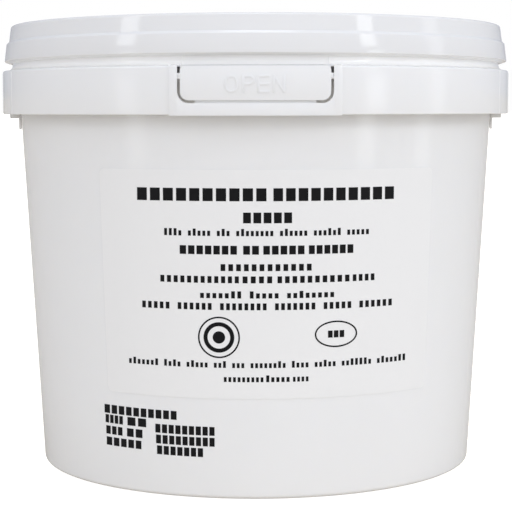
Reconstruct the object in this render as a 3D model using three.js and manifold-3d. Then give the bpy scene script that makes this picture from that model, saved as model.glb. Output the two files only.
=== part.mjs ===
// A shut round plastic tub with a press-on lid, a tamper tab in its skirt and a label.
// Millimetres, +Z up, base on Z = 0, tab and label facing -Y.
import * as THREE from "three";
import { mergeVertices } from "three/addons/utils/BufferGeometryUtils.js";
import Module from "manifold-3d";

const SEGMENTS = 112;
const CLEAR = 0.3; // gap between neighbouring pieces

// Tub
const BASE_R = 77.45; // the wall's line carried down to Z = 0
const WALL_SLOPE = 0.0572; // radius gained per mm of height
const BASE_ROUND = 1.6;
const FOOT_IN_R = 72.6; // inner edge of the foot ring
const BASE_RECESS = 1.6;
const SKIRT_R = 90.65;
const SKIRT_IN_R = 89.2;
const SKIRT_LOW = 124.45;
const SKIRT_HIGH = 139.65;
const CHANNEL_TOP = 136.6; // roof of the open channel under the skirt
const NECK_R = 87.3;
const BEAD_R = 86.2; // bead that the lid grips
const BEAD_TOP = 152.0;
const FILL_R = 80.2;
const FILL_TOP = 148.0;

// Front frame, tab and side panels on the skirt
const PANEL_R = 91;
const FRAME_HALF_ANGLE = 17.3;
const SIDE_HALF_ANGLE = 23;
const FRAME_LOW = 124.2;
const FRAME_HIGH = 139.95;
const TAB_X = 24.0; // centre line of the slot either side of the tab
const TAB_LOW = 128.5; // centre line of the slot below the tab
const TAB_HIGH = 139.5;
const SLOT_WIDTH = 0.66;
const SLOT_CORNER = 3.2;
const BRIDGE_LOW = 135.6;
const BRIDGE_HIGH = 137.5;
const WEB_HALF_ANGLE = 12.15;
const TAB_BACK_R = 89.9;
const POCKET_R = 88.7;
const SCOOP_HALF_ANGLE = 14.4;

// Raised word on the tab
const LETTER_LOW = 131.2;
const LETTER_HIGH = 136.8;
const LETTER_STROKE = 0.8;
const LETTER_RELIEF = 0.18;

// Lugs under the skirt, left and right
const LUG_OUT_R = 89.9;
const LUG_LOW = 122.95;
const TONGUE_IN_R = 85.6;
const TONGUE_OUT_R = 86.5;
const TONGUE_LOW = 118.9;

// Lid
const LID_LOW = 142.65;
const LID_LOW_R = 90.05;
const LID_STEP = 149.1;
const LID_STEP_R = 89.35;
const UPPER_LOW_R = 88.4;
const UPPER_LOW = 149.8;
const LID_TOP = 155.26;
const LID_TOP_R = 87.8;
const LID_ROUND = 0.9;
const LID_IN_R = 88.6;
const RIM_IN_R = 80.6; // inner edge of the raised rim
const LID_PANEL = 151.0; // height of the sunken middle
const LID_WALL = 1.4;
const LID_TILT = -0.6; // degrees about X: the lid sits a little high at the front

// Label
const LABEL_THICK = 0.35;
const LABEL_LOW = 33.6;
const LABEL_HIGH = 107.1;
const LABEL_LEFT = [-38.2, -37.5]; // degrees at the low and the high edge
const LABEL_RIGHT = [45.1, 43.8];
const LABEL_CORNER = 1.8;

const wasm = await Module();
wasm.setup();

const rad = THREE.MathUtils.degToRad;
const wallR = (z) => BASE_R + WALL_SLOPE * z;

function solid(geometry) {
  const bare = geometry.clone();
  bare.deleteAttribute("normal");
  bare.deleteAttribute("uv");
  const g = mergeVertices(bare, 1e-4);
  const mesh = new wasm.Mesh({
    numProp: 3,
    vertProperties: Float32Array.from(g.attributes.position.array),
    triVerts: Uint32Array.from(g.index.array),
  });
  return new wasm.Manifold(mesh);
}

function geometryOf(manifold) {
  const mesh = manifold.getMesh();
  const g = new THREE.BufferGeometry();
  g.setAttribute("position", new THREE.BufferAttribute(Float32Array.from(mesh.vertProperties), 3));
  g.setIndex(new THREE.BufferAttribute(Uint32Array.from(mesh.triVerts), 1));
  return g;
}

// Turns a closed profile of [radius, height] pairs about the Z axis.
function turned(profile) {
  const points = profile.map(([r, z]) => new THREE.Vector2(r, z));
  return solid(new THREE.LatheGeometry(points, SEGMENTS).rotateX(Math.PI / 2));
}

const ring = (r0, r1, z0, z1) => turned([[r0, z0], [r1, z0], [r1, z1], [r0, z1], [r0, z0]]);

// Arc points in a profile, angles in degrees.
function arc(r, z, radius, from, to, steps) {
  return Array.from({ length: steps + 1 }, (_, i) => {
    const a = rad(from + ((to - from) * i) / steps);
    return [r + radius * Math.cos(a), z + radius * Math.sin(a)];
  });
}

// Upright prism over a plan drawn in X and Y.
function upright(shape, z0, z1) {
  const options = { depth: z1 - z0, bevelEnabled: false };
  return solid(new THREE.ExtrudeGeometry(shape, options).translate(0, 0, z0));
}

// Prism over a shape drawn in X and Z, standing along Y from y0 to y1.
function facing(shape, y0, y1) {
  const options = { depth: y1 - y0, bevelEnabled: false, curveSegments: 10 };
  return solid(new THREE.ExtrudeGeometry(shape, options).rotateX(Math.PI / 2).translate(0, y1, 0));
}

// Part of a ring, between two angles measured from the front towards +X.
function sector(r0, r1, z0, z1, from, to) {
  const points = [];
  const steps = Math.max(2, Math.ceil(Math.abs(to - from) / 3.2));
  for (let i = 0; i <= steps; i++) {
    const a = rad(from + ((to - from) * i) / steps);
    points.push(new THREE.Vector2(r1 * Math.sin(a), -r1 * Math.cos(a)));
  }
  for (let i = steps; i >= 0; i--) {
    const a = rad(from + ((to - from) * i) / steps);
    points.push(new THREE.Vector2(r0 * Math.sin(a), -r0 * Math.cos(a)));
  }
  return upright(new THREE.Shape(points), z0, z1);
}

// Wedge of the whole height between two angles, to keep part of a turned ring.
function wedge(from, to, z0, z1) {
  const plan = [new THREE.Vector2(0, 0)];
  for (const a of [from, (from + to) / 2, to]) {
    plan.push(new THREE.Vector2(150 * Math.sin(rad(a)), -150 * Math.cos(rad(a))));
  }
  return upright(new THREE.Shape(plan), z0, z1);
}

const shapeOf = (pairs) => new THREE.Shape(pairs.map(([x, y]) => new THREE.Vector2(x, y)));

function rectangle(x0, z0, x1, z1) {
  return shapeOf([[x0, z0], [x1, z0], [x1, z1], [x0, z1]]);
}

// Upside-down-arch outline open at the top: a rectangle with rounded low corners.
function archPoints(halfX, low, high, corner) {
  const right = arc(halfX - corner, low + corner, corner, -90, 0, 8);
  const left = arc(-halfX + corner, low + corner, corner, 180, 270, 8);
  return [...left, ...right, [halfX, high], [-halfX, high]];
}

function bodyProfile() {
  const slope = Math.atan(WALL_SLOPE);
  const footR = wallR(BASE_ROUND) - BASE_ROUND * (1 / Math.cos(slope));
  return [
    [0, BASE_RECESS],
    [FOOT_IN_R - 2, BASE_RECESS],
    [FOOT_IN_R - 0.6, 0.5],
    [FOOT_IN_R, 0],
    ...arc(footR, BASE_ROUND, BASE_ROUND, -90, -3.3, 5),
    [wallR(SKIRT_LOW), SKIRT_LOW],
    [wallR(CHANNEL_TOP - 0.8), CHANNEL_TOP - 0.8],
    [wallR(CHANNEL_TOP) + 0.8, CHANNEL_TOP],
    [SKIRT_IN_R - 0.6, CHANNEL_TOP],
    [SKIRT_IN_R, CHANNEL_TOP - 0.6],
    [SKIRT_IN_R + 0.1, SKIRT_LOW],
    [SKIRT_R - 0.25, SKIRT_LOW],
    [SKIRT_R, SKIRT_LOW + 0.25],
    [SKIRT_R, SKIRT_HIGH - 1.7],
    [SKIRT_R - 0.15, SKIRT_HIGH - 0.6],
    [SKIRT_R - 0.55, SKIRT_HIGH - 0.08],
    [SKIRT_R - 1, SKIRT_HIGH],
    [NECK_R + 0.8, SKIRT_HIGH + 0.5],
    [NECK_R, SKIRT_HIGH + 1.2],
    [NECK_R, LID_LOW + 2.6],
    [BEAD_R, LID_LOW + 3.7],
    [BEAD_R, BEAD_TOP - 0.8],
    [BEAD_R - 0.8, BEAD_TOP],
    [FILL_R + 3, BEAD_TOP],
    [FILL_R + 2.2, FILL_TOP],
    [0, FILL_TOP],
  ];
}

// The block under the skirt and the tongue that hangs from it, at +X.
function lug() {
  const block = sector(TONGUE_IN_R, LUG_OUT_R, LUG_LOW, CHANNEL_TOP - 3, 85, 95);
  const width = 4.5;
  const z = TONGUE_LOW;
  const outline = [[-width, LUG_LOW + 4], ...arc(-width + 2, z + 2, 2, 180, 270, 5),
    ...arc(width - 2, z + 2, 2, -90, 0, 5), [width, LUG_LOW + 4]];
  const plate = facing(shapeOf(outline), -100, -60).rotate([0, 0, 90]);
  const shell = ring(TONGUE_IN_R, TONGUE_OUT_R, z - 1, LUG_LOW + 5);
  return block.add(shell.intersect(plate));
}

// Raised word, drawn with plain strokes and wrapped on the tab's face.
function word() {
  const t = LETTER_STROKE;
  const [z0, z1] = [LETTER_LOW, LETTER_HIGH];
  const mid = (z0 + z1) / 2;
  const strokes = [];
  const bar = (x0, a, x1, b) => strokes.push(rectangle(x0, a, x1, b));

  const oval = new THREE.Shape().absellipse(-7.55, mid, 2.3, (z1 - z0) / 2, 0, 2 * Math.PI);
  oval.holes.push(new THREE.Path().absellipse(-7.55, mid, 2.3 - t, (z1 - z0) / 2 - t, 0, 2 * Math.PI));
  strokes.push(oval);

  const bowl = (z1 - z0) / 4 + t / 4;
  const centre = z1 - bowl;
  bar(-4.2, z0, -4.2 + t, z1);
  const hoop = shapeOf([[-3.8, z1], ...arc(-1.75, centre, bowl, 90, -90, 8), [-3.8, centre - bowl],
    [-3.8, centre - bowl + t], ...arc(-1.75, centre, bowl - t, -90, 90, 8), [-3.8, z1 - t]]);
  strokes.push(hoop);

  bar(0.5, z0, 0.5 + t, z1);
  for (const z of [z0, mid - t / 2, z1 - t]) bar(0.9, z, 4.4, z + t);

  bar(5.3, z0, 5.3 + t, z1);
  bar(9.4 - t, z0, 9.4, z1);
  strokes.push(shapeOf([[5.3, z1], [5.3 + t, z1], [9.4, z0], [9.4 - t, z0]]));

  const face = ring(PANEL_R - 0.5, PANEL_R + LETTER_RELIEF, z0 - 1, z1 + 1);
  const blocks = strokes.map((s) => facing(s, -PANEL_R - 2, -PANEL_R + 2));
  return face.intersect(wasm.Manifold.union(blocks));
}

function tubSolid() {
  let body = turned(bodyProfile());

  for (const side of [-90, 90]) {
    body = body.add(sector(SKIRT_R - 1, PANEL_R, SKIRT_LOW, SKIRT_HIGH - 1.2,
      side - SIDE_HALF_ANGLE, side + SIDE_HALF_ANGLE));
  }
  body = body.add(lug()).add(lug().rotate([0, 0, 180]));

  const frame = sector(SKIRT_R - 1, PANEL_R, FRAME_LOW, FRAME_HIGH, -FRAME_HALF_ANGLE, FRAME_HALF_ANGLE);
  body = body.add(frame);

  // The slot round the tab, through the skirt.
  const half = SLOT_WIDTH / 2;
  const slot = shapeOf(archPoints(TAB_X + half, TAB_LOW - half, 145, SLOT_CORNER + half));
  slot.holes.push(new THREE.Path(archPoints(TAB_X - half, TAB_LOW + half, 144.5, SLOT_CORNER - half)
    .map(([x, y]) => new THREE.Vector2(x, y))));
  body = body.subtract(facing(slot, -95, -TAB_BACK_R * Math.cos(rad(15.5)) + 1.6)
    .intersect(ring(SKIRT_IN_R - 1.5, 95, TAB_LOW - 2, FRAME_HIGH + 0.2)));

  // Behind the tab: a pocket down to the channel, and a scoop in the neck for a fingertip.
  const behind = (r0, r1, z) => facing(rectangle(-TAB_X, z, TAB_X, 141), -95, -80)
    .intersect(ring(r0, r1, z - 1, 142));
  body = body.subtract(behind(POCKET_R, TAB_BACK_R, CHANNEL_TOP - 1));
  body = body.subtract(behind(TAB_BACK_R - 0.2, 95, TAB_HIGH));
  const cut = turned([[POCKET_R + 0.1, SKIRT_HIGH], [95, SKIRT_HIGH], [95, LID_LOW + 1.6],
    [84.6, LID_LOW + 1.6], [84.6, LID_LOW + 0.6], [86.1, SKIRT_HIGH + 1.8], [POCKET_R + 0.1, SKIRT_HIGH]]);
  body = body.subtract(cut.intersect(wedge(-SCOOP_HALF_ANGLE, SCOOP_HALF_ANGLE, 130, 150)));

  // Small rounded corners at the tab's two top ends.
  for (const side of [-1, 1]) {
    const x = side * (TAB_X - half);
    const notch = [[x + side * 0.2, TAB_HIGH + 0.2], [x + side * 0.2, TAB_HIGH - 1],
      [x, TAB_HIGH - 1], [x - side * 0.3, TAB_HIGH - 0.3], [x - side, TAB_HIGH], [x - side, TAB_HIGH + 0.2]];
    if (side > 0) notch.reverse();
    body = body.subtract(facing(shapeOf(notch), -95, -85));
  }

  // Breakable bridges across the slot, and the thin web under the tab.
  const edge = THREE.MathUtils.radToDeg(Math.asin(TAB_X / PANEL_R));
  for (const side of [-1, 1]) {
    body = body.add(sector(TAB_BACK_R, PANEL_R - 0.45, BRIDGE_LOW, BRIDGE_HIGH,
      side * edge - 0.5, side * edge + 0.5));
  }
  body = body.add(sector(SKIRT_IN_R + 0.3, PANEL_R - 0.75, TAB_LOW - 0.6, TAB_LOW + 0.6,
    -WEB_HALF_ANGLE, WEB_HALF_ANGLE));

  return body.add(word());
}

function lidSolid() {
  const under = LID_PANEL - LID_WALL;
  const lid = turned([
    [0, under],
    [RIM_IN_R + 0.9, under],
    [RIM_IN_R + 1.3, LID_TOP - LID_WALL - 0.4],
    [RIM_IN_R + 1.7, LID_TOP - LID_WALL],
    [LID_TOP_R - LID_WALL - 0.2, LID_TOP - LID_WALL],
    [LID_TOP_R - LID_WALL + 0.2, LID_TOP - LID_WALL - 0.4],
    [UPPER_LOW_R - LID_WALL, UPPER_LOW],
    [LID_IN_R - 0.3, LID_STEP - 0.8],
    [LID_IN_R, LID_LOW],
    [LID_LOW_R - 0.25, LID_LOW],
    [LID_LOW_R, LID_LOW + 0.25],
    [LID_STEP_R, LID_STEP - 0.25],
    [LID_STEP_R - 0.12, LID_STEP + 0.12],
    [UPPER_LOW_R + 0.3, LID_STEP + 0.52],
    [UPPER_LOW_R, UPPER_LOW],
    ...arc(LID_TOP_R - LID_ROUND, LID_TOP - LID_ROUND, LID_ROUND, 5, 90, 5),
    [RIM_IN_R + 0.6, LID_TOP],
    [RIM_IN_R + 0.1, LID_TOP - 0.4],
    [RIM_IN_R - 0.5, LID_PANEL + 0.7],
    [RIM_IN_R - 1.2, LID_PANEL],
    [0, LID_PANEL],
  ]);
  const pivot = LID_STEP;
  return lid.translate([0, 0, -pivot]).rotate([LID_TILT, 0, 0]).translate([0, 0, pivot]);
}

function labelSolid() {
  const inner = (z) => wallR(z) + CLEAR;
  const outer = (z) => inner(z) + LABEL_THICK;
  const [z0, z1] = [LABEL_LOW - 2, LABEL_HIGH + 2];
  const shell = turned([[inner(z0), z0], [outer(z0), z0], [outer(z1), z1], [inner(z1), z1], [inner(z0), z0]]);

  // Corner arcs drawn in arc length, then laid on the wall and seen from the front.
  const corner = (degrees, z, sideX, sideZ, from) => {
    const r = outer(z);
    const s = rad(degrees) * r - sideX * LABEL_CORNER;
    return arc(s, z - sideZ * LABEL_CORNER, LABEL_CORNER, from, from + 90, 6)
      .map(([x, y]) => [r * Math.sin(x / r), y]);
  };
  const outline = shapeOf([
    ...corner(LABEL_LEFT[0], LABEL_LOW, -1, -1, 180),
    ...corner(LABEL_RIGHT[0], LABEL_LOW, 1, -1, 270),
    ...corner(LABEL_RIGHT[1], LABEL_HIGH, 1, 1, 0),
    ...corner(LABEL_LEFT[1], LABEL_HIGH, -1, 1, 90),
  ]);
  return shell.intersect(facing(outline, -100, -20));
}

const plastic = new THREE.MeshStandardMaterial({ name: "plastic", color: 0xeeeeee, roughness: 0.4, metalness: 0 });
const paper = new THREE.MeshStandardMaterial({ name: "paper", color: 0xf6f6f6, roughness: 0.6, metalness: 0 });

const part = new THREE.Group();
part.name = "lidded_tub";
const pieces = [["tub", tubSolid(), plastic], ["lid", lidSolid(), plastic], ["label", labelSolid(), paper]];
for (const [name, manifold, material] of pieces) {
  const mesh = new THREE.Mesh(geometryOf(manifold), material);
  mesh.name = name;
  part.add(mesh);
}

export default part;
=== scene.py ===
"""Dresses the shut food tub.

Moulded white plastic, a stuck-on label with plain print, and a pale studio round them."""

import math
import random

import bpy
from mathutils import Matrix, Vector


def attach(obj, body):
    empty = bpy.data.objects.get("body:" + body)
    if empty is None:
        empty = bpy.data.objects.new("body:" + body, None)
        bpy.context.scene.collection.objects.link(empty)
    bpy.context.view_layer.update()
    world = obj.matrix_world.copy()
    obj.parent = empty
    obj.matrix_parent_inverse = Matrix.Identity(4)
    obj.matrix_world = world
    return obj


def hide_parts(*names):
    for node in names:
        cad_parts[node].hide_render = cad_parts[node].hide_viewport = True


bl_info = {
    "name": "Shut Food Tub",
    "version": (1, 0, 0),
    "blender": (4, 5, 0),
    "location": "View3D > Sidebar > Tub",
    "description": "Models the tub, its lid, tear tab, label and print, and a studio round them",
    "category": "Object",
}

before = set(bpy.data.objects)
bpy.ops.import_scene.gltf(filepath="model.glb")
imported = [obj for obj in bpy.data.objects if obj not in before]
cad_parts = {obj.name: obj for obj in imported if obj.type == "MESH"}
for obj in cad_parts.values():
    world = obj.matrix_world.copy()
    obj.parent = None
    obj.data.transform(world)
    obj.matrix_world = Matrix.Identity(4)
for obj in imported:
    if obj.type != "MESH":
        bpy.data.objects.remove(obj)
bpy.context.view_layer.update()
MM = 0.001
ROUND_STEPS = 256  # steps of a full turn
SHARP = 32  # degrees; a greater angle between faces is a sharp edge
TOOL_FRONT, TOOL_BACK = -0.097, -0.04  # where a cutting tool starts and ends, along Y
PAST_FRONT, PAST_BACK = -0.099, -0.03  # the same for a tool that cuts right through another tool
BEYOND, FURTHER = 95 * MM, 96 * MM  # radii outside all pieces
FILM_LIFT, PRINT_LIFT, STAMP_LIFT = 0.16 * MM, 0.21 * MM, 0.05 * MM  # height above the wall
FLOOR_SIZE, FLOOR_DROP = 80, 0.2 * MM  # the floor lies this much under the foot


def length(name, description, mm):
    """A size property, given in millimetres and kept in metres."""
    return bpy.props.FloatProperty(
        name=name, description=description, default=mm * MM, unit="LENGTH"
    )


def angle(name, description, degrees):
    """An angle property, given in degrees."""
    return bpy.props.FloatProperty(
        name=name, description=description, default=math.radians(degrees), subtype="ANGLE"
    )


def tint(name, description, value):
    """A colour property, linear."""
    return bpy.props.FloatVectorProperty(
        name=name, description=description, default=value, subtype="COLOR", size=3, min=0, max=1
    )


class TubSizes(bpy.types.PropertyGroup):
    """Sizes of the moulded tub."""

    base: length("Base radius", "Radius of the wall's line at the foot", 77.38)
    slope: bpy.props.FloatProperty(
        name="Wall slope", description="Radius gained for each unit of height", default=0.0572
    )
    base_round: length("Base round", "Radius of the edge round the foot", 1.6)
    foot: length("Foot ring", "Inner radius of the foot ring", 72.6)
    skirt: length("Skirt radius", "Outside of the skirt", 90.65)
    skirt_inside: length("Skirt inside", "Inside of the skirt", 89.2)
    skirt_low: length("Skirt bottom", "Height of the skirt's lower edge", 124.45)
    skirt_high: length("Skirt top", "Height of the skirt's upper edge", 139.65)
    channel: length("Channel roof", "Height of the roof of the channel under the skirt", 136.6)
    neck: length("Neck radius", "Radius of the neck below the lid", 87.3)
    panel: length("Panel radius", "Outside of the raised panels on the skirt", 91.0)
    frame_angle: angle("Frame half angle", "Half of the front frame's width", 17.3)
    side_angle: angle("Side half angle", "Half of a side panel's width", 23)
    frame_low: length("Frame bottom", "Lower edge of the front frame", 124.2)
    frame_high: length("Frame top", "Upper edge of the front frame", 139.95)
    tab_half: length("Tab half width", "From the middle to the slot's centre line", 24.0)
    tab_low: length("Tab bottom", "Height of the slot under the tab", 128.5)
    tab_high: length("Tab top", "Height of the tab's upper edge", 139.5)
    slot: length("Slot width", "Width of the slot round the tab", 0.92)
    slot_corner: length("Slot corner", "Radius of the slot's corners", 3.2)
    tongue_low: length("Tongue bottom", "Lowest point of the side tongues", 118.9)


class LidSizes(bpy.types.PropertyGroup):
    """Sizes of the press-on lid."""

    low: length("Lid bottom", "Height of the lid's lower edge", 142.65)
    low_radius: length("Lower radius", "Outside of the lid at its lower edge", 90.05)
    step: length("Step height", "Height of the step between the two bands", 149.1)
    step_radius: length("Step radius", "Outside of the lower band at the step", 89.35)
    upper_radius: length("Upper radius", "Outside of the upper band at the step", 88.4)
    top: length("Lid top", "Height of the rim", 155.26)
    top_radius: length("Top radius", "Outside of the rim at the top", 87.8)
    rounding: length("Rim round", "Radius of the rim's outer edge", 0.9)
    rim: length("Rim inside", "Inner radius of the raised rim", 80.6)
    panel: length("Sunken panel", "Height of the sunken middle", 151.0)
    tilt: angle("Tilt", "How much the lid stands up at the front", 0.6)


class LabelSizes(bpy.types.PropertyGroup):
    """Place and size of the label and its print."""

    low: length("Label bottom", "Height of the label's lower edge", 33.35)
    high: length("Label top", "Height of the label's upper edge", 107.1)
    left: angle("Left edge", "Where the label starts, from the front", -37.8)
    right: angle("Right edge", "Where the label ends, from the front", 44.75)
    corner: length("Corner round", "Radius of the label's corners", 1.8)
    seed: bpy.props.IntProperty(
        name="Word pattern", description="Draws another pattern of word lengths", default=4, min=0
    )


class TubColours(bpy.types.PropertyGroup):
    """Colours of the pieces and the stage."""

    plastic: tint("Tub plastic", "Colour of the tub", (0.913, 0.909, 0.895))
    lid: tint("Lid plastic", "Colour of the lid", (0.858, 0.852, 0.84))
    film: tint("Label film", "Colour of the label", (0.93, 0.922, 0.902))
    ink: tint("Ink", "Colour of the print", (0.004, 0.004, 0.0045))
    floor: tint("Floor", "Colour of the floor", (0.74, 0.685, 0.595))


# Shader maths


class Wire:
    """A socket of a node tree that can be used in sums."""

    def __init__(self, tree, socket):
        self.tree, self.socket = tree, socket

    def sum(self, operation, a, b):
        return wire_node(self.tree, "ShaderNodeMath", {"operation": operation}, {0: a, 1: b})

    def __add__(self, other):
        return self.sum("ADD", self, other)

    def __sub__(self, other):
        return self.sum("SUBTRACT", self, other)

    def __mul__(self, other):
        return self.sum("MULTIPLY", self, other)

    def __rsub__(self, other):
        return self.sum("SUBTRACT", other, self)

    __radd__ = __add__
    __rmul__ = __mul__


def wire_node(tree, kind, settings=None, inputs=None, out=0):
    """One node, with its settings and the values or links of its sockets."""
    node = tree.nodes.new(kind)
    for name, value in (settings or {}).items():
        setattr(node, name, value)
    for name, value in (inputs or {}).items():
        if isinstance(value, Wire):
            tree.links.new(value.socket, node.inputs[name])
        else:
            node.inputs[name].default_value = value
    return Wire(tree, node.outputs[out]) if node.outputs else node


def blend(tree, factor, a, b):
    """Mixes two colours; each is three numbers or a link."""
    a, b = (c if isinstance(c, Wire) else (*c, 1) for c in (a, b))
    return wire_node(
        tree, "ShaderNodeMix", {"data_type": "RGBA"}, {"Factor": factor, "A": a, "B": b}, out=2
    )


def split(tree, vector):
    """The three parts of a vector."""
    node = wire_node(tree, "ShaderNodeSeparateXYZ", None, {"Vector": vector}).socket.node
    return [Wire(tree, output) for output in node.outputs]


def grey(tree, level):
    """A grey colour from one changing number."""
    return wire_node(tree, "ShaderNodeCombineColor", None, {0: level, 1: level, 2: level})


def ramp(tree, value, start, end, low=0.0, high=1.0):
    """Runs from low to high while the value runs from start to end, and stays there."""
    ends = {"From Min": start, "From Max": end, "To Min": low, "To Max": high}
    return wire_node(tree, "ShaderNodeMapRange", None, {"Value": value, **ends})


def noise(tree, point, scale, detail):
    """A noise pattern fixed to the piece."""
    return wire_node(
        tree, "ShaderNodeTexNoise", None, {"Vector": point, "Scale": scale, "Detail": detail}
    )


def new_material(name):
    """An empty material."""
    material = bpy.data.materials.new(name)
    material.use_nodes = True
    material.node_tree.nodes.clear()
    return material


def finish_material(tree, **sockets):
    """Closes a material with one Principled shader; constants are set on its own sockets."""
    inputs = {name.replace("_", " "): value for name, value in sockets.items()}
    shader = wire_node(tree, "ShaderNodeBsdfPrincipled", None, inputs)
    wire_node(tree, "ShaderNodeOutputMaterial", None, {"Surface": shader})


CLOUD_SCALE, PEEL_SCALE, FLECK_SCALE, PATCH_SCALE = 22.0, 650.0, 900.0, 700.0  # of the noises
DARKER, LIGHTER = 0.985, 1.015  # ends of a faint uneven tone
NECK_PAINTED_COLOUR, NECK_PAINTED_GLOW = (0.985, 0.98, 0.96), 0.055  # colour and glow painted on the neck: painted light standing in for light through its thin wall
NECK_PAINTED_FADE = 0.0006  # height over which the neck's painted paler colour and painted glow fade in
SATIN_ROUGH, SATIN_FADE = 0.28, 0.001  # extra roughness, and the width of its edge


def moulded_plastic(name, colour, rough, grain, painted_neck_from=None, satin=None):
    """White moulded plastic: a faint cloudy tone, uneven gloss and a very fine orange peel.

    Above the given height, painted light: the thin neck is painted paler and glows faintly.
    Within the radius that satin gives, the face is dull."""
    tree = new_material(name).node_tree
    point = wire_node(tree, "ShaderNodeTexCoord", out=3)
    cloud = noise(tree, point, CLOUD_SCALE, 3.0)
    peel = noise(tree, point, PEEL_SCALE, 2.0)
    dark, light = [c * DARKER for c in colour], [min(1, c * LIGHTER) for c in colour]
    tone = blend(tree, cloud, dark, light)
    across, along, height = split(tree, point)
    glow = {}
    # painted light: the neck above the given height is blended to a paler colour and glows faintly
    if painted_neck_from:
        thin = ramp(tree, height, painted_neck_from, painted_neck_from + NECK_PAINTED_FADE)
        tone = blend(tree, thin, tone, NECK_PAINTED_COLOUR)
        glow = {"Emission_Color": grey(tree, thin * NECK_PAINTED_GLOW), "Emission_Strength": 1.0}
    gloss = cloud * 0.08 + (rough - 0.04)
    if satin:
        edge = (satin**2, (satin + SATIN_FADE) ** 2)
        gloss = gloss + ramp(tree, across * across + along * along, *edge, SATIN_ROUGH, 0.0)
    bump = {"Strength": grain, "Distance": 0.0002, "Height": peel}
    finish_material(
        tree,
        **glow,
        Base_Color=tone,
        Roughness=gloss,
        Normal=wire_node(tree, "ShaderNodeBump", None, bump),
        Subsurface_Weight=0.1,
        Subsurface_Radius=(1.0, 0.9, 0.75),
        Subsurface_Scale=0.001,
        IOR=1.49,
    )


def label_film(colour):
    """Smooth white label film with a faint paper tone."""
    tree = new_material("sticker_film").node_tree
    point = wire_node(tree, "ShaderNodeTexCoord", out=3)
    fleck = noise(tree, point, FLECK_SCALE, 2.0)
    bump = {"Strength": 0.05, "Distance": 0.0001, "Height": fleck}
    finish_material(
        tree,
        Base_Color=blend(tree, fleck, [c * DARKER for c in colour], colour),
        Roughness=fleck * 0.06 + 0.42,
        Normal=wire_node(tree, "ShaderNodeBump", None, bump),
    )


def print_ink(colour):
    """Black print, a little uneven."""
    tree = new_material("print_ink").node_tree
    point = wire_node(tree, "ShaderNodeTexCoord", out=3)
    patch = noise(tree, point, PATCH_SCALE, 3.0)
    tone = blend(tree, patch, colour, [c * 2.2 for c in colour])
    finish_material(
        tree, Base_Color=tone, Roughness=patch * 0.1 + 0.5, Specular_IOR_Level=0.15
    )


# Modelling helpers


def fresh():
    """Object mode with nothing selected."""
    if bpy.context.object and bpy.context.object.mode != "OBJECT":
        bpy.ops.object.mode_set(mode="OBJECT")
    bpy.ops.object.select_all(action="DESELECT")


def only(piece):
    """Selects one piece alone and makes it active."""
    fresh()
    piece.select_set(True)
    bpy.context.view_layer.objects.active = piece
    return piece


def chain(points):
    """Starts a mesh as a chain of edges through the points, in edit mode with all selected."""
    fresh()
    bpy.ops.mesh.primitive_plane_add(size=0.001, location=(0, 0, 0))
    bpy.ops.object.mode_set(mode="EDIT")
    bpy.ops.mesh.select_all(action="SELECT")
    bpy.ops.mesh.merge(type="CENTER")
    bpy.ops.transform.translate(value=points[0])
    for a, b in zip(points, points[1:]):
        bpy.ops.mesh.extrude_vertices_move(TRANSFORM_OT_translate={"value": Vector(b) - Vector(a)})
    bpy.ops.mesh.select_all(action="SELECT")
    return bpy.context.object


def arc(r, z, radius, start, end, steps):
    """Points on an arc of a profile, angles in degrees."""
    turn = [math.radians(start + (end - start) * i / steps) for i in range(steps + 1)]
    return [(r + radius * math.cos(a), z + radius * math.sin(a)) for a in turn]


def tidy():
    """Merges doubles, closes what is open and turns all faces outwards, in edit mode."""
    bpy.ops.mesh.select_all(action="SELECT")
    bpy.ops.mesh.remove_doubles(threshold=1e-6)
    bpy.ops.mesh.fill_holes(sides=0)
    bpy.ops.mesh.select_all(action="SELECT")
    bpy.ops.mesh.normals_make_consistent(inside=False)
    bpy.ops.object.mode_set(mode="OBJECT")


def turned(name, pairs, start=0.0, end=2 * math.pi, steps=ROUND_STEPS):
    """A profile of radius and height pairs, turned about the upright axis between two angles.

    Angles are measured from the front, towards the right."""
    piece = chain([(r, 0, z) for r, z in pairs])
    piece.name = name
    bpy.ops.mesh.spin(steps=steps, angle=start - end, center=(0, 0, 0), axis=(0, 0, 1))
    tidy()
    only(piece)
    piece.rotation_euler = (0, 0, start - math.pi / 2)
    bpy.ops.object.transform_apply(location=True, rotation=True, scale=True)
    return piece


def oval(x, z, wide, high, sides):
    """Corners of an oval outline round a centre."""
    turn = [i * math.tau / sides for i in range(sides)]
    return [(x + wide * math.cos(a), z + high * math.sin(a)) for a in turn]


def rectangle(x0, z0, x1, z1):
    """Corners of an upright rectangle."""
    return [(x0, z0), (x1, z0), (x1, z1), (x0, z1)]


def prism(name, pairs, y0=TOOL_FRONT, y1=TOOL_BACK):
    """A solid over an outline drawn in X and Z, standing along Y."""
    points = [Vector((x, y0, z)) for x, z in pairs]
    piece = chain(points)
    piece.name = name
    bpy.ops.mesh.edge_face_add()
    bpy.ops.mesh.select_all(action="SELECT")
    bpy.ops.mesh.extrude_region_move(TRANSFORM_OT_translate={"value": (0, y1 - y0, 0)})
    tidy()
    return piece


def combine(piece, tool, how):
    """Cuts, joins or meets a piece with a tool, which is then gone."""
    only(piece)
    bpy.ops.object.modifier_add(type="BOOLEAN")
    step = piece.modifiers[-1]
    step.operation, step.solver, step.object = how, "MANIFOLD", tool
    bpy.ops.object.modifier_apply(modifier=step.name)
    bpy.data.objects.remove(tool)
    if not piece.data.polygons:
        raise RuntimeError(f"{piece.name} came out empty")
    return piece


def hoop(name, x, z, wide, high, line, sides=48):
    """A flat oval ring seen from the front, as a tool; wide and high go to the line's middle."""
    outside = oval(x, z, wide + line / 2, high + line / 2, sides)
    inside = oval(x, z, wide - line / 2, high - line / 2, sides)
    hole = prism("hole", inside, PAST_FRONT, PAST_BACK)
    return combine(prism(name, outside), hole, "DIFFERENCE")


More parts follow.
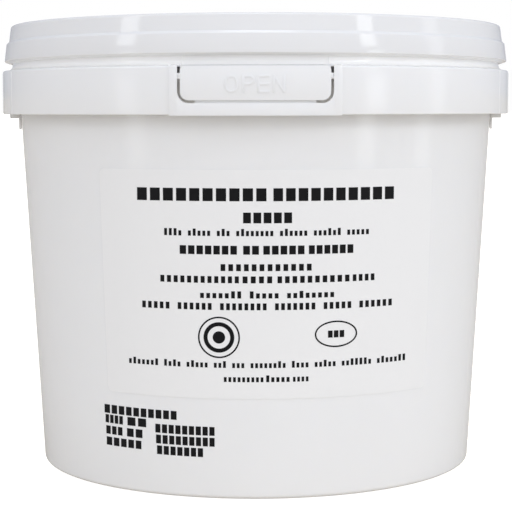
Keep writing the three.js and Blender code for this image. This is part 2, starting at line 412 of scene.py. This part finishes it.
def soften(piece, width, segments=2, limit=SHARP):
    """Rounds the sharp edges a little and smooths the faces between them."""
    only(piece)
    bpy.ops.object.modifier_add(type="BEVEL")
    edge = piece.modifiers[-1]
    edge.width, edge.segments = width, segments
    edge.limit_method, edge.angle_limit = "ANGLE", math.radians(limit)
    edge.use_clamp_overlap, edge.harden_normals = True, False
    bpy.ops.object.modifier_apply(modifier=edge.name)
    return smooth(piece)


def smooth(piece, limit=SHARP):
    """Smooths the edges where faces meet at less than the limit, in degrees."""
    only(piece)
    bpy.ops.object.shade_smooth_by_angle(angle=math.radians(limit))
    return piece


def place(piece, material, slot, *nodes):
    """Gives a finished piece its material, its body and the nodes that it stands for."""
    piece.data.materials.clear()
    piece.data.materials.append(material)
    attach(piece, "root")
    if nodes:
        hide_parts(*nodes)
    return piece


def wall_at(sizes, z):
    """Radius of the tapered wall at a height."""
    return sizes.base + sizes.slope * z


def band(name, inner, outer, low, high, start=0.0, end=2 * math.pi, steps=ROUND_STEPS):
    """A ring, or part of one, of rectangular section."""
    section = rectangle(inner, low, outer, high)
    return turned(name, [*section, section[0]], start, end, steps)


def sector(name, radii, heights, middle, half, steps):
    """Part of a ring, reaching equally far to both sides of its middle."""
    return band(name, *radii, *heights, middle - half, middle + half, steps)


def skin(name, sizes, low, high, under, over):
    """A thin shell on the wall, from under its face to over it."""
    section = [
        (wall_at(sizes, low) - under, low),
        (wall_at(sizes, low) + over, low),
        (wall_at(sizes, high) + over, high),
        (wall_at(sizes, high) - under, high),
    ]
    return turned(name, [*section, section[0]])


def scoop_tool(sizes):
    """The shallow hollow in the neck above the tab, with soft ends."""
    low, tall, half = sizes.skirt_high + 0.1 * MM, 5.4 * MM, math.radians(15.3)
    deep, curve = sizes.neck - 0.15 * MM, 1.8 * MM
    ring = [
        (BEYOND, low),
        (BEYOND, low + tall),
        (deep, low + tall),
        *arc(deep + curve, low + curve, curve, 180, 270, 9),
        (BEYOND, low),
    ]
    return soften(turned("scoop", ring, -half, half, 40), 0.35 * MM, 4, 50)


def slot_end(sizes, side):
    """The deep upper end of the slot beside the tab, cut into the wall."""
    middle, half = side * sizes.tab_half, sizes.slot / 2
    low, high = sizes.channel - 0.5 * MM, sizes.skirt_high - 0.2 * MM
    outline = rectangle(middle - half, low, middle + half, high)
    return prism("slot_end", outline, -0.0925, -0.079)


class TUB_OT_body(bpy.types.Operator):
    """Turn the tapered body with its foot, skirt, channel and neck"""

    bl_idname = "tub.body"
    bl_label = "Tub Body"

    def execute(self, context):
        s, m = context.scene.tub_sizes, MM
        lean = math.degrees(math.atan(s.slope))
        foot = wall_at(s, s.base_round) - s.base_round / math.cos(math.radians(lean))
        top, recess, mouth, inside = s.skirt_high, 1.6 * m, 152 * m, 148 * m
        body = turned(
            "tub_body",
            [
                # the recessed base and the foot ring
                (0, recess),
                (s.foot - 2.2 * m, recess),
                *arc(s.foot - 2.2 * m, 0.8 * m, 0.8 * m, 90, 30, 3),
                *arc(s.foot + 0.5 * m, 0.5 * m, 0.5 * m, 200, 270, 3),
                *arc(foot, s.base_round, s.base_round, -90, -lean, 8),
                # the wall
                (wall_at(s, 30 * m), 30 * m),
                (wall_at(s, 112 * m), 112 * m),
                (wall_at(s, s.skirt_low), s.skirt_low),
                # the channel under the skirt
                (wall_at(s, s.channel - 0.8 * m), s.channel - 0.8 * m),
                (wall_at(s, s.channel) + 0.8 * m, s.channel),
                (s.skirt_inside - 0.6 * m, s.channel),
                (s.skirt_inside, s.channel - 0.6 * m),
                (s.skirt_inside + 0.1 * m, s.skirt_low + 0.3 * m),
                *arc(s.skirt_inside + 0.4 * m, s.skirt_low + 0.3 * m, 0.3 * m, 180, 270, 3),
                # the skirt
                *arc(s.skirt - 0.35 * m, s.skirt_low + 0.35 * m, 0.35 * m, -90, 0, 4),
                (s.skirt, s.skirt_low + 8 * m),
                *arc(s.skirt - 0.55 * m, top - 0.55 * m, 0.55 * m, 0, 90, 6),
                # the neck, and the closed face under the lid
                (s.neck + 2.05 * m, top + 0.02 * m),
                *arc(s.neck + 1.8 * m, top + 1.95 * m, 1.8 * m, 268, 180, 9),
                (s.neck, top + 5.6 * m),
                (s.neck - 1.1 * m, top + 6.7 * m),
                (s.neck - 1.1 * m, mouth - 0.8 * m),
                (s.neck - 1.9 * m, mouth),
                (83.2 * m, mouth),
                (82.4 * m, inside),
                (0, inside),
            ],
        )
        # the front frame takes the skirt's place over this many of the turn's steps to each side
        half_steps = 12
        half = math.radians(half_steps * 360 / ROUND_STEPS)
        gap = sector("gap", (88.2 * m, BEYOND), (120 * m, 140.5 * m), 0, half, 2 * half_steps)
        combine(body, gap, "DIFFERENCE")
        combine(body, scoop_tool(s), "DIFFERENCE")
        for side in (-1, 1):
            combine(body, slot_end(s, side), "DIFFERENCE")
        place(smooth(body), bpy.data.materials["moulded_tub"], "tub_plastic", "tub")
        return {"FINISHED"}


class TUB_OT_tear_tab(bpy.types.Operator):
    """Make the front frame with the tear tab, its slot, bridges and web"""

    bl_idname = "tub.tear_tab"
    bl_label = "Frame and Tear Tab"

    def arch(self, s, grow, high):
        """Outline of the tab, grown by some width, open at the top."""
        half, low, corner = s.tab_half + grow, s.tab_low - grow, s.slot_corner + grow
        return [
            *arc(-half + corner, low + corner, corner, 180, 270, 10),
            *arc(half - corner, low + corner, corner, -90, 0, 10),
            (half, high),
            (-half, high),
        ]

    def within(self, tool, inner, outer):
        """Keeps what a tool has between two radii."""
        return combine(tool, band("reach", inner, outer, 120 * MM, 150 * MM), "INTERSECT")

    def execute(self, context):
        s, m = context.scene.tub_sizes, MM
        plastic = bpy.data.materials["moulded_tub"]
        back, seat = s.skirt_inside + 0.05 * m, 88 * m
        section = [
            (back, s.frame_low),
            (s.panel, s.frame_low),
            (s.panel, s.frame_high - 0.1 * m),
            (s.panel - 0.8 * m, s.frame_high),
            (seat, s.skirt_high + 0.55 * m),
            (seat, s.channel),
            (s.skirt_inside, s.channel),
            (back, s.frame_low),
        ]
        front = turned("tab_frame", section, -s.frame_angle, s.frame_angle, 25)

        wide, over, behind = s.tab_half, 145 * m, 88.7 * m
        slot = prism("slot", self.arch(s, s.slot / 2, over))
        tab = prism("tab", self.arch(s, -s.slot / 2, over + 1.2 * m), PAST_FRONT, PAST_BACK)
        combine(slot, tab, "DIFFERENCE")
        combine(front, self.within(slot, behind, FURTHER), "DIFFERENCE")
        pocket = prism("pocket", rectangle(-wide, s.channel - m, wide, over))
        combine(front, self.within(pocket, behind, 89.9 * m), "DIFFERENCE")
        crop = prism("crop", rectangle(-wide, s.tab_high, wide, over))
        combine(front, self.within(crop, 89.7 * m, FURTHER), "DIFFERENCE")
        combine(front, scoop_tool(s), "DIFFERENCE")

        x, z, r, past = wide - s.slot / 2, s.tab_high, 1 * m, 0.2 * m
        round_off = [
            (x + past, z + past),
            (x + past, z - r),
            *arc(x - r, z - r, r, 0, 90, 4),
            (x - r, z + past),
        ]
        for side in (-1, 1):
            corner = prism("corner", [(side * a, b) for a, b in round_off], -0.095, -0.0862)
            combine(front, corner, "DIFFERENCE")
            combine(front, slot_end(s, side), "DIFFERENCE")
        place(soften(front, 0.28 * m, 3), plastic, "tub_plastic")

        radii, heights = (89.5 * m, 90.05 * m), (s.tab_low - 0.7 * m, s.tab_low + 0.7 * m)
        web = sector("tab_web", radii, heights, 0, math.radians(12.15), 20)
        place(soften(web, 0.1 * m), plastic, "tub_plastic")
        radii, heights = (89.95 * m, 90.55 * m), (135.6 * m, 137.5 * m)
        edge = math.asin(s.tab_half / s.panel)
        for middle, name in ((-edge, "tab_bridge_left"), (edge, "tab_bridge_right")):
            bridge = sector(name, radii, heights, middle, 0.012, 3)
            place(soften(bridge, 0.12 * m), plastic, "tub_plastic")
        return {"FINISHED"}


class TUB_OT_tab_word(bpy.types.Operator):
    """Raise the plain word on the tab, stroke by stroke"""

    bl_idname = "tub.tab_word"
    bl_label = "Raised Word"

    def execute(self, context):
        s, m = context.scene.tub_sizes, MM
        low, high, t = 131.2 * m, 136.8 * m, 0.8 * m  # foot, head and width of the strokes
        mid, tall = (low + high) / 2, (high - low) / 2
        radii = (s.panel - 0.3 * m, s.panel + 0.17 * m)
        word = sector("tab_word", radii, (low - m, high + m), 0, 0.2, 18)

        def bar(x0, z0, x1, z1):
            """A straight stroke; x in mm from the middle."""
            return prism("bar", rectangle(x0 * m, z0, x1 * m, z1))

        bowl, back, turn = tall / 2 + t / 4, -3.7 * m, -1.75 * m
        bowl_line = [
            (back, high),
            *arc(turn, high - bowl, bowl, 90, -90, 14),
            (back, high - 2 * bowl),
            (back, high - 2 * bowl + t),
            *arc(turn, high - bowl, bowl - t, -90, 90, 14),
            (back, high - t),
        ]
        slant = [(5.3 * m, high), (5.3 * m + t, high), (9.4 * m, low), (9.4 * m - t, low)]
        strokes = [
            hoop("ring", -7.55 * m, mid, 2.3 * m - t / 2, tall - t / 2, t, 40),
            bar(-4.2, low, -3.4, high),
            prism("bowl", bowl_line),
            bar(0.5, low, 1.3, high),
            *(bar(0.9, z, 4.4, z + t) for z in (low, mid - t / 2, high - t)),
            bar(5.3, low, 6.1, high),
            bar(8.6, low, 9.4, high),
            prism("slant", slant),
        ]
        shape = strokes.pop()
        for stroke in strokes:
            combine(shape, stroke, "UNION")
        combine(word, shape, "INTERSECT")
        place(soften(word, 0.08 * m), bpy.data.materials["moulded_tub"], "tub_plastic")
        return {"FINISHED"}


class TUB_OT_side_parts(bpy.types.Operator):
    """Add the raised side panels, and the lugs with their tongues under the skirt"""

    bl_idname = "tub.side_parts"
    bl_label = "Side Panels and Lugs"

    def execute(self, context):
        s, m = context.scene.tub_sizes, MM
        plastic = bpy.data.materials["moulded_tub"]
        tongue_outline = [
            *arc(-0.5 * m, s.tongue_low + m, m, 180, 270, 8),
            *arc(0.5 * m, s.tongue_low + m, m, -90, 0, 8),
            (1.5 * m, 128 * m),
            (-1.5 * m, 128 * m),
        ]
        for middle, side in ((-math.pi / 2, "left"), (math.pi / 2, "right")):
            radii = (s.skirt - 0.6 * m, s.skirt + 0.1 * m)
            heights = (s.skirt_low, s.skirt_high - 0.5 * m)
            panel = sector(f"side_panel_{side}", radii, heights, middle, s.side_angle, 64)
            place(soften(panel, 0.25 * m), plastic, "tub_plastic")

            radii = (s.skirt - 0.6 * m, s.skirt + 0.2 * m)
            heights = (s.skirt_low + 0.3 * m, s.skirt_high - 0.8 * m)
            inset = sector(f"side_inset_{side}", radii, heights, middle, math.radians(11), 32)
            place(soften(inset, 0.2 * m), plastic, "tub_plastic")

            radii, heights = (85 * m, 88.65 * m), (122.95 * m, 133.6 * m)
            block = sector(f"lug_{side}", radii, heights, middle, math.radians(5), 8)
            place(soften(block, 0.3 * m), plastic, "tub_plastic")

            radii, heights = (85.3 * m, 86.05 * m), (s.tongue_low - m, 126.9 * m)
            tongue = sector(f"tongue_{side}", radii, heights, middle, math.radians(6), 10)
            tool = only(prism("tongue_outline", tongue_outline))
            tool.rotation_euler = (0, 0, middle)
            bpy.ops.object.transform_apply(location=False, rotation=True, scale=False)
            combine(tongue, tool, "INTERSECT")
            place(soften(tongue, 0.22 * m, 3), plastic, "tub_plastic")
        return {"FINISHED"}


class TUB_OT_lid(bpy.types.Operator):
    """Turn the press-on lid with its two bands, step, rim and sunken middle"""

    bl_idname = "tub.lid"
    bl_label = "Lid"

    def execute(self, context):
        s, m = context.scene.lid_sizes, MM
        wall, inside, lip = 1.4 * m, 88.6 * m, 87.45 * m
        ridge, ridge_high = (66.6 * m, 70 * m), 0.25 * m  # a low ring in the sunken middle
        lid = turned(
            "lid_shell",
            [
                # inside
                (0, s.panel - wall),
                (s.rim + 0.9 * m, s.panel - wall),
                (s.rim + 1.3 * m, s.top - wall - 0.4 * m),
                (s.rim + 1.7 * m, s.top - wall),
                (s.top_radius - wall - 0.2 * m, s.top - wall),
                (s.top_radius - wall + 0.2 * m, s.top - wall - 0.4 * m),
                (s.upper_radius - wall, s.step + 0.7 * m),
                (inside - 0.3 * m, s.step - 0.8 * m),
                (inside, s.low + 1.5 * m),
                (lip, s.low + 0.9 * m),
                # the lower edge and the two bands
                *arc(lip + 0.2 * m, s.low - 0.5 * m, 0.2 * m, 180, 255, 3),
                *arc(s.low_radius - 0.3 * m, s.low + 0.3 * m, 0.3 * m, -75, 3, 4),
                *arc(s.step_radius - 0.3 * m, s.step - 0.35 * m, 0.3 * m, 5, 42, 4),
                *arc(s.upper_radius + 0.42 * m, s.step + 0.78 * m, 0.4 * m, 225, 184, 4),
                (s.upper_radius - 0.1 * m, s.step + 1.6 * m),
                # the rim and the sunken middle
                *arc(s.top_radius - s.rounding, s.top - s.rounding, s.rounding, 5, 90, 8),
                (s.rim + 2.2 * m, s.top - 0.04 * m),
                *arc(s.rim + 0.7 * m, s.top - 0.7 * m, 0.62 * m, 80, 170, 5),
                (s.rim - 0.35 * m, s.panel + 0.9 * m),
                *arc(s.rim - 1.2 * m, s.panel + 0.85 * m, 0.85 * m, -5, -90, 5),
                (ridge[1], s.panel),
                (ridge[1] - 0.4 * m, s.panel + ridge_high),
                (ridge[0] + 0.4 * m, s.panel + ridge_high),
                (ridge[0], s.panel),
                (30 * m, s.panel),
                (0, s.panel),
            ],
        )
        only(lid)
        bpy.ops.object.mode_set(mode="EDIT")
        bpy.ops.mesh.select_all(action="SELECT")
        bpy.ops.transform.rotate(value=s.tilt, orient_axis="X", center_override=(0, 0, s.step))
        bpy.ops.object.mode_set(mode="OBJECT")
        rim = [v.co for v in lid.data.vertices if v.co.z > s.top - m]
        if max(rim, key=lambda c: c.z).y > 0:
            raise RuntimeError("the lid leans the wrong way")
        place(smooth(lid), bpy.data.materials["moulded_lid"], "lid_plastic", "lid")
        return {"FINISHED"}


class TUB_OT_label(bpy.types.Operator):
    """Stick the label on the wall"""

    bl_idname = "tub.label"
    bl_label = "Label"

    def execute(self, context):
        s, tub, m = context.scene.label_sizes, context.scene.tub_sizes, MM
        film = skin("label_sheet", tub, s.low - 2 * m, s.high + 2 * m, 0.1 * m, FILM_LIFT)

        def corner(where, z, right, up, start):
            """A rounded corner at an angle round the tub and a height, seen from the front."""
            r = wall_at(tub, z)
            centre = where * r - right * s.corner
            points = arc(centre, z - up * s.corner, s.corner, start, start + 90, 8)
            return [(r * math.sin(x / r), y) for x, y in points]

        lean = math.radians(0.65)  # the side edges lean by this much
        outline = [
            *corner(s.left - lean / 2, s.low, -1, -1, 180),
            *corner(s.right + lean, s.low, 1, -1, 270),
            *corner(s.right - lean, s.high, 1, 1, 0),
            *corner(s.left + lean / 2, s.high, -1, 1, 90),
        ]
        combine(film, prism("label_outline", outline), "INTERSECT")
        place(smooth(film), bpy.data.materials["sticker_film"], "label_film", "label")
        return {"FINISHED"}


# Rows of print: height of the row's foot, height of its blocks, whether the heights vary, and the
# runs as left edge, right edge and number of blocks. All in mm, sideways from the middle.
LABEL_ROWS = (
    (97.2, 4.1, False, ((-38.1, 3.4, 10), (5.6, 44.7, 10))),
    (90.2, 3.4, False, ((-4.0, 11.5, 5),)),
    (86.1, 2.3, True, ((-29.3, 36.4, 43),)),
    (80.2, 2.8, False, ((-24.3, -6.0, 7), (-4.0, 1.0, 2), (2.4, 15.5, 5), (16.9, 31.3, 6))),
    (74.9, 2.2, False, ((-11.2, 2.7, 6), (3.8, 17.8, 6))),
    (71.0, 2.2, False, ((-30.7, -5.4, 12), (-4.2, 5.2, 4), (6.9, 30.1, 10), (31.2, 38.4, 4))),
    (66.1, 2.3, True, ((-17.8, 25.1, 22),)),
    (62.3, 2.2, False, ((-36.8, 44.4, 42),)),
    (43.5, 2.2, True, ((-41.5, 49.3, 62),)),
    (38.9, 2.2, True, ((-10.3, 2.4, 9), (3.3, 10.8, 5), (11.9, 16.9, 4))),
)
STAMP_ROWS = (
    (25.7, 2.9, False, ((-50.4, -25.8, 10),)),
    (22.4, 2.8, False, ((-50.1, -44.0, 4), (-42.4, -36.0, 2))),
    (21.0, 2.9, False, ((-32.9, -13.4, 9),)),
    (18.6, 2.8, False, ((-49.9, -44.2, 3), (-42.6, -37.3, 2))),
    (17.4, 2.9, False, ((-32.7, -13.4, 9),)),
    (14.8, 2.8, False, ((-49.8, -37.7, 5),)),
    (13.8, 2.9, False, ((-32.4, -17.2, 7),)),
)
LONG_RUN = 14  # a run of more blocks than this is broken into words
BOLD_FROM = 2.5  # rows at least this tall are bold
BOLD_BLOCK, PLAIN_BLOCK = 0.76, 0.6  # width of a block, as a share of its pitch
SMALL = 0.72  # height of a small block, as a share of a tall one
BLOCK_MIDDLE, BLOCK_DEEP = -68.5, 57  # of the tools along Y, in mm


def word_gaps(count, draw):
    """Places in a long run that stay empty, so that it falls into words."""
    gaps, at = set(), 0
    while count > LONG_RUN:
        at += draw.randint(3, 8)
        if at > count - 4:
            break
        gaps.add(at)
        at += 1
    return gaps


def print_rows(name, rows, draw):
    """Upright blocks for all the rows, as one tool to be met with a thin shell."""
    fresh()
    bpy.ops.mesh.primitive_cube_add(size=1, location=(0, 0, 0))
    piece = bpy.context.object
    piece.name = name
    bpy.ops.object.mode_set(mode="EDIT")
    bpy.ops.mesh.delete(type="VERT")
    for foot, tall, varied, runs in rows:
        share = BOLD_BLOCK if tall > BOLD_FROM else PLAIN_BLOCK
        for left, right, count in runs:
            pitch = (right - left) / (count - 1 + share)
            gaps = word_gaps(count, draw)
            for i in range(count):
                if i in gaps:
                    continue
                high = tall * draw.choice((1, SMALL, SMALL, SMALL)) if varied else tall
                middle = left + pitch * (i + share / 2)
                at = Vector((middle, BLOCK_MIDDLE, foot + high / 2)) * MM
                size = Vector((share * pitch, BLOCK_DEEP, high)) * MM
                bpy.ops.mesh.primitive_cube_add(size=1, location=at, scale=size)
    bpy.ops.object.mode_set(mode="OBJECT")
    return piece


def inked(name, tool, sizes, low, high, lift):
    """Meets a tool with a thin shell on the wall, so that the print follows the surface."""
    shell = skin(name, sizes, low, high, 0.05 * MM, lift)
    combine(shell, tool, "INTERSECT")
    return place(smooth(shell), bpy.data.materials["print_ink"], "print")


class TUB_OT_label_print(bpy.types.Operator):
    """Print the label with plain blocks for words, a plain ring mark and a plain oval"""

    bl_idname = "tub.label_print"
    bl_label = "Label Print"

    def execute(self, context):
        s, tub, m = context.scene.label_sizes, context.scene.tub_sizes, MM
        draw = random.Random(s.seed)
        words = print_rows("words", LABEL_ROWS, draw)
        inked("label_words", words, tub, 36 * m, 105 * m, PRINT_LIFT)

        line, x, z = 0.5 * m, 25.85 * m, 54.05 * m
        mark = hoop("mark", x, z, 6.7 * m, 4.1 * m, line)
        for i in (-1, 0, 1):
            middle = (25.85 + 1.9 * i) * m
            block = rectangle(middle - 0.75 * m, 52.9 * m, middle + 0.75 * m, 55.2 * m)
            combine(mark, prism("block", block), "UNION")
        inked("label_oval", mark, tub, 48 * m, 60 * m, PRINT_LIFT)

        x, z = -11.85 * m, 53.4 * m
        ring = hoop("ring", x, z, 6.5 * m, 6.5 * m, line)
        combine(ring, hoop("inner", x, z, 4.3 * m, 4.3 * m, 1.3 * m), "UNION")
        combine(ring, prism("dot", oval(x, z, 2 * m, 2 * m, 32)), "UNION")
        inked("label_ring", ring, tub, 44 * m, 62 * m, PRINT_LIFT)
        return {"FINISHED"}


class TUB_OT_wall_stamp(bpy.types.Operator):
    """Print the rows of plain blocks on the wall below the label"""

    bl_idname = "tub.wall_stamp"
    bl_label = "Wall Stamp"

    def execute(self, context):
        draw = random.Random(context.scene.label_sizes.seed + 1)
        tool = print_rows("stamp", STAMP_ROWS, draw)
        inked("wall_stamp", tool, context.scene.tub_sizes, 11 * MM, 31 * MM, STAMP_LIFT)
        return {"FINISHED"}


# Strip lights: point of the tub where each shows, azimuth, width and height, foot, glow.
STRIP_LIGHTS = {
    "strip_right": ((0.0346, -0.0815), 51.2, (0.11, 0.70), 0.26, 3.8),
    "strip_right_low": ((0.0382, -0.0822), 53.9, (0.13, 0.21), 0.005, 2.4),
    "strip_side": ((0.0567, -0.0705), 87.5, (0.13, 0.90), 0.005, 1.2),
    "strip_left": ((-0.0402, -0.0789), -59.5, (0.13, 0.70), 0.27, 3.1),
    "strip_left_low": ((-0.0402, -0.0812), -58.3, (0.14, 0.21), 0.005, 1.5),
}
STRIP_COLOUR, STRIP_AWAY = (0.95, 0.98, 1.0), 0.8  # STRIP_AWAY: distance from the tub, in metres
# Broad lights: azimuth, elevation, spread, strength, colour.
BROAD_LIGHTS = {
    "low_front": (0, 8, 45, 0.3, (0.92, 0.945, 0.99)),
    "high_front": (0, 29, 12, 0.15, (0.92, 0.95, 1.0)),
    "high_right": (35, 30, 8, 0.14, (0.89, 0.93, 1.0)),
    "high_side": (65, 30, 8, 0.165, (0.88, 0.92, 1.0)),
    "high_left": (-65, 30, 10, 0.1, (0.96, 0.97, 1.0)),
    "high_top": (0, 80, 30, 0.46, (0.95, 0.97, 1.0)),
}
MIRRORED_FROM = 45  # a broad light at least this high also shows in glossy faces
FLOOR_SEEN = 0.9  # glow of the floor for the camera alone
SKY_TINT = (0.96, 0.998, 1.125)
SKY_GLOW = 0.617
SKY_RIGHT, SKY_BEHIND = 0.045, 0.18  # more light from the right, and less from behind
CAMERA_AT, CAMERA_LENS = (0.00007, -0.608, 0.12648), 116.99
CAMERA_DOWN, CAMERA_ROLL = 5.076, -0.08  # degrees


class TUB_OT_stage(bpy.types.Operator):
    """Set the pale floor, the soft lights, the sky and the camera"""

    bl_idname = "tub.stage"
    bl_label = "Stage"

    def strip_light(self, name, start, azimuth, size, foot, glow):
        """A narrow upright softbox above a height, mirrored in the tub at the start point."""
        a, (wide, high) = math.radians(azimuth), size
        aim = Vector((*start, foot + high / 2))
        spot = aim + STRIP_AWAY * Vector((math.sin(a), -math.cos(a), 0))
        bpy.ops.object.light_add(type="AREA", location=spot)
        lamp = bpy.context.object
        lamp.name = name
        lamp.rotation_euler = (aim - spot).to_track_quat("-Z", "Y").to_euler()
        lamp.data.shape, lamp.data.size, lamp.data.size_y = "RECTANGLE", wide, high
        lamp.data.energy, lamp.data.color = glow * math.pi * wide * high, STRIP_COLOUR

    def broad_light(self, name, azimuth, elevation, spread, strength, colour):
        """A far light; azimuth is measured from the front towards the right.

        Low ones don't show in glossy faces, which would mirror them as white patches."""
        a, e = math.radians(azimuth), math.radians(elevation)
        way = Vector((math.sin(a) * math.cos(e), -math.cos(a) * math.cos(e), math.sin(e)))
        bpy.ops.object.light_add(type="SUN", location=2 * way)
        lamp = bpy.context.object
        lamp.name = name
        lamp.rotation_euler = (-way).to_track_quat("-Z", "Y").to_euler()
        lamp.data.angle, lamp.data.energy, lamp.data.color = math.radians(spread), strength, colour
        lamp.visible_glossy = elevation > MIRRORED_FROM

    def floor(self, colour):
        """A pale floor that the camera sees as white."""
        fresh()
        bpy.ops.mesh.primitive_plane_add(size=FLOOR_SIZE, location=(0, 0, -FLOOR_DROP))
        floor = bpy.context.object
        floor.name = "floor"
        material = new_material("floor_white")
        tree = material.node_tree
        seen = wire_node(tree, "ShaderNodeLightPath", out=0)
        finish_material(
            tree,
            Base_Color=(*colour, 1),
            Roughness=0.9,
            Specular_IOR_Level=0.0,
            Emission_Strength=1.0,
            Emission_Color=grey(tree, seen * FLOOR_SEEN),
        )
        floor.data.materials.append(material)

    def sky(self, scene):
        """A tinted sky that the camera sees as white."""
        scene.world = bpy.data.worlds.new("studio_sky")
        scene.world.use_nodes = True
        tree = scene.world.node_tree
        tree.nodes.clear()
        right, back, _ = split(tree, wire_node(tree, "ShaderNodeTexCoord", out=0))
        behind = back * 0.5 + 0.5
        glow = SKY_GLOW + right * SKY_RIGHT - behind * behind * SKY_BEHIND
        seen = wire_node(tree, "ShaderNodeLightPath", out=0)
        colour = blend(tree, seen, SKY_TINT, (1, 1, 1))
        strength = seen + (1 - seen) * glow
        inputs = {"Color": colour, "Strength": strength}
        surface = wire_node(tree, "ShaderNodeBackground", None, inputs)
        wire_node(tree, "ShaderNodeOutputWorld", None, {"Surface": surface})

    def camera(self, scene):
        """The camera that was fitted to the photo's outlines."""
        bpy.ops.object.camera_add(location=CAMERA_AT)
        camera = bpy.context.object
        camera.name = "photo_camera"
        camera.data.lens, camera.data.sensor_width, camera.data.clip_end = CAMERA_LENS, 36, 100
        level = Matrix.Rotation(math.radians(90 - CAMERA_DOWN), 3, "X")
        roll = Matrix.Rotation(math.radians(CAMERA_ROLL), 3, "Z")
        camera.rotation_euler = (level @ roll).to_euler()
        scene.camera = camera
        scene.view_settings.view_transform = "Standard"

    def execute(self, context):
        self.floor(context.scene.tub_colours.floor)
        fresh()
        for name, setting in STRIP_LIGHTS.items():
            self.strip_light(name, *setting)
        for name, setting in BROAD_LIGHTS.items():
            self.broad_light(name, *setting)
        self.sky(context.scene)
        self.camera(context.scene)
        return {"FINISHED"}


class TUB_PT_panel(bpy.types.Panel):
    """Lists the tub's pieces and sizes"""

    bl_label = "Shut Food Tub"
    bl_idname = "TUB_PT_panel"
    bl_space_type = "VIEW_3D"
    bl_region_type = "UI"
    bl_category = "Tub"

    def draw(self, context):
        for operator in OPERATORS:
            self.layout.operator(operator.bl_idname)
        for name in GROUPS:
            box = self.layout.box()
            sizes = getattr(context.scene, name)
            for prop in sizes.bl_rna.properties:
                if prop.identifier not in ("rna_type", "name"):
                    box.prop(sizes, prop.identifier)


OPERATORS = (
    TUB_OT_body,
    TUB_OT_tear_tab,
    TUB_OT_tab_word,
    TUB_OT_side_parts,
    TUB_OT_lid,
    TUB_OT_label,
    TUB_OT_label_print,
    TUB_OT_wall_stamp,
    TUB_OT_stage,
)
GROUPS = {
    "tub_sizes": TubSizes,
    "lid_sizes": LidSizes,
    "label_sizes": LabelSizes,
    "tub_colours": TubColours,
}
CLASSES = (*GROUPS.values(), *OPERATORS, TUB_PT_panel)


def register():
    for group in CLASSES:
        bpy.utils.register_class(group)
    for name, group in GROUPS.items():
        setattr(bpy.types.Scene, name, bpy.props.PointerProperty(type=group))


def unregister():
    for name in GROUPS:
        delattr(bpy.types.Scene, name)
    for group in reversed(CLASSES):
        bpy.utils.unregister_class(group)


def mix_materials(colours):
    """Makes the finishes that the pieces share."""
    # the tub's neck above 139.8 mm gets a painted paler colour and a painted glow
    moulded_plastic("moulded_tub", colours.plastic, rough=0.15, grain=0.03, painted_neck_from=139.8 * MM)
    moulded_plastic("moulded_lid", colours.lid, rough=0.09, grain=0.02, satin=78.5 * MM)
    label_film(colours.film)
    print_ink(colours.ink)


def main():
    register()
    mix_materials(bpy.context.scene.tub_colours)
    bpy.ops.tub.body()
    bpy.ops.tub.tear_tab()
    bpy.ops.tub.tab_word()
    bpy.ops.tub.side_parts()
    bpy.ops.tub.lid()
    bpy.ops.tub.label()
    bpy.ops.tub.label_print()
    bpy.ops.tub.wall_stamp()
    bpy.ops.tub.stage()


if __name__ == "__main__":
    main()
